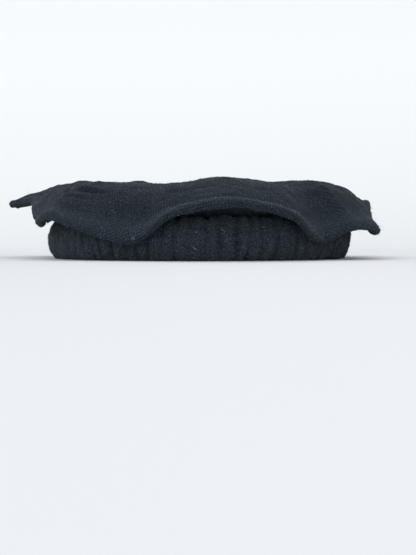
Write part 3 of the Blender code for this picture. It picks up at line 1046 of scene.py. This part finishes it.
def make_floor():
    """A pale floor that bends up behind into a long gentle slope."""
    profile = [(FLOOR_FRONT, 0.0), (FLOOR_FLAT, 0.0)]
    for k in range(1, BEND_STEPS + 1):
        a = math.radians(SLOPE_DEG * k / BEND_STEPS)
        profile.append((FLOOR_FLAT + FLOOR_BEND * math.sin(a), FLOOR_BEND - FLOOR_BEND * math.cos(a)))
    y, z = profile[-1]
    profile.append((y + SLOPE_RUN * math.cos(a), z + SLOPE_RUN * math.sin(a)))
    points = [(x, y, z) for y, z in profile for x in (-FLOOR_HALF, FLOOR_HALF)]
    faces = [(2 * k, 2 * k + 1, 2 * k + 3, 2 * k + 2) for k in range(len(profile) - 1)]
    floor = new_piece("floor", points, faces)
    floor.data.materials.append(floor_paint())
    return floor


def make_sky():
    """A soft sky, brightest straight above."""
    world = bpy.data.worlds.new("world")
    world.use_nodes = True
    tree = world.node_tree
    way = new_node(tree, "ShaderNodeTexCoord").outputs["Generated"]
    split = new_node(tree, "ShaderNodeSeparateXYZ", {"Vector": way})
    colour = mixed(tree, split.outputs["Z"], SKY_LOW, SKY_HIGH)
    set_inputs(tree, tree.nodes["Background"], {"Color": colour})
    bpy.context.scene.world = world


def area_light(name, place, size, power, colour):
    data = bpy.data.lights.new(name, "AREA")
    data.shape = "DISK"
    data.size, data.energy, data.color = size, power, colour
    lamp = add(name, data)
    lamp.location = place
    lamp.rotation_mode = "QUATERNION"
    lamp.rotation_quaternion = (-Vector(place)).to_track_quat("-Z", "Y")


def make_camera(middle):
    """A camera in front of the hat, with the foot of the hat's middle at HAT_PIXEL."""
    data = bpy.data.cameras.new("camera")
    data.sensor_width = SENSOR
    data.lens = FOCAL_PIXELS / IMAGE_HIGH * SENSOR
    data.clip_start = CLIP_START
    camera = add("camera", data)
    target = Vector((middle.x, middle.y, 0))
    camera.location = target + Vector((0, -CAMERA_FAR, CAMERA_HEIGHT))
    camera.rotation_mode = "QUATERNION"
    face = (target - camera.location).normalized().to_track_quat("-Z", "Y")
    across = math.atan((HAT_PIXEL[0] - IMAGE_WIDE / 2) / FOCAL_PIXELS)
    down = math.atan((HAT_PIXEL[1] - IMAGE_HIGH / 2) / FOCAL_PIXELS)
    camera.rotation_quaternion = face @ Quaternion((0, 1, 0), across) @ Quaternion((1, 0, 0), down)
    bpy.context.scene.camera = camera


# The three pieces, moved from the roll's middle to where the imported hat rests
crown, side_wall, roll = make_crown(), make_side_wall(), make_roll()
front_of_oval = Vector((0, -(HEAD_LENGTH + ROLL_THICK) / 2, 0))
shift = Vector(frame["record"]["mounts"][0]["pos_m"]) - front_of_oval
for piece in (crown, side_wall, roll):
    piece.data.transform(Matrix.Translation(shift))

# The crown's wool is painted darker than the roll's, as shade against the light on its top
crown.data.materials.append(wool(
    "crown_wool", WOOL_DARK, CROWN_SHADED_LIGHT,
    sheen=0.04, wear_and_shade_tone=0.55, grain=0.95, rows=CROWN_ROWS, row_tone=0.45,
))
# The side wall's wool carries painted bluish shade
side_wall.data.materials.append(
    wool("side_wool", UNDER_SHADE_DARK, UNDER_SHADE_LIGHT, sheen=0.05, wear_and_shade_tone=0.45, grain=0.8)
)
roll.data.materials.append(wool("roll_wool", WOOL_DARK, WOOL_LIGHT, sheen=0.08, wear_and_shade_tone=0.62, grain=1.15))

# Where fibres grow: the crown's upper side, edge and outer underside, the roll above its foot, and the
# side wall's outer side down to near the roll
edge_from = sum(TOP_RINGS) - 1
under_from = edge_from + EDGE_RINGS
rim_faces = (edge_from - RIM_FUZZ_RINGS, under_from, RIM_FUZZ)
crown_weight = faces_of(crown, 0, under_from + UNDER_RINGS[0], CROWN_TURNS, boost=(rim_faces,))
roll_weight = faces_of(roll, FOOT_RINGS, FOOT_RINGS + ROLL_RINGS - 1, ROLL_TURNS)
wall_weight = faces_of(side_wall, WALL_RINGS, WALL_RINGS * 7 // 4, WALL_TURNS)
rim_weight = faces_of(crown, edge_from - RIM_HAIR_RINGS, edge_from + EDGE_UPPER, CROWN_TURNS)
fuzzes = [
    fuzz(
        "crown_fuzz", crown, crown_weight * front_more(crown, shift),
        count=18500, length=0.0009, thick=0.00019, lift=(0.15, 0.70), rows=CROWN_ROWS,
    ),
    fuzz(
        "roll_fuzz", roll, roll_weight * front_more(roll, shift) * ridge_more(roll),
        count=18500, length=0.0015, thick=0.00016, lift=(0.08, 0.55), comb=2.2,
    ),
    fuzz(
        "side_wall_fuzz", side_wall, wall_weight,
        count=6000, length=0.0016, thick=0.00013, lift=(0.08, 0.55),
    ),
    fuzz("rim_hairs", crown, rim_weight, count=260, length=0.0048, thick=0.00007, lift=(0.35, 0.95)),
]
# Fibre colours with a painted glint
hair = fibre_wool("fibre_wool", FIBRE_DARK, FIBRE_GLINT)
shaded_under_hair = fibre_wool("under_fibre_painted_shade", FIBRE_DARK, (*(UNDER_FIBRE_SHADE * c for c in FIBRE_GLINT[:3]), 1))
for piece, material in zip(fuzzes, (hair, hair, shaded_under_hair, hair)):
    piece.data.materials.append(material)

lint_rows = ((roll, ROLL_LINT), (crown, CROWN_LINT), (roll, SIDE_LINT))
lint_places = [(piece, row) for piece, rows in lint_rows for row in rows]
specks = lint("lint", lint_places, shift)
specks.data.materials.append(fibre_wool("lint_thread", LINT, LINT_DARK))

for piece, node, slot in (
    (crown, "crown", "crown_wool"),
    (side_wall, "side_wall", "side_wool"),
    (roll, "roll", "roll_wool"),
):
    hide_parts(node)
for piece in (crown, side_wall, roll, *fuzzes, specks):
    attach(piece, "root")

make_floor()
make_sky()
for light in LIGHTS:
    area_light(*light)
bpy.context.scene.view_settings.view_transform = "Standard"
make_camera(shift)
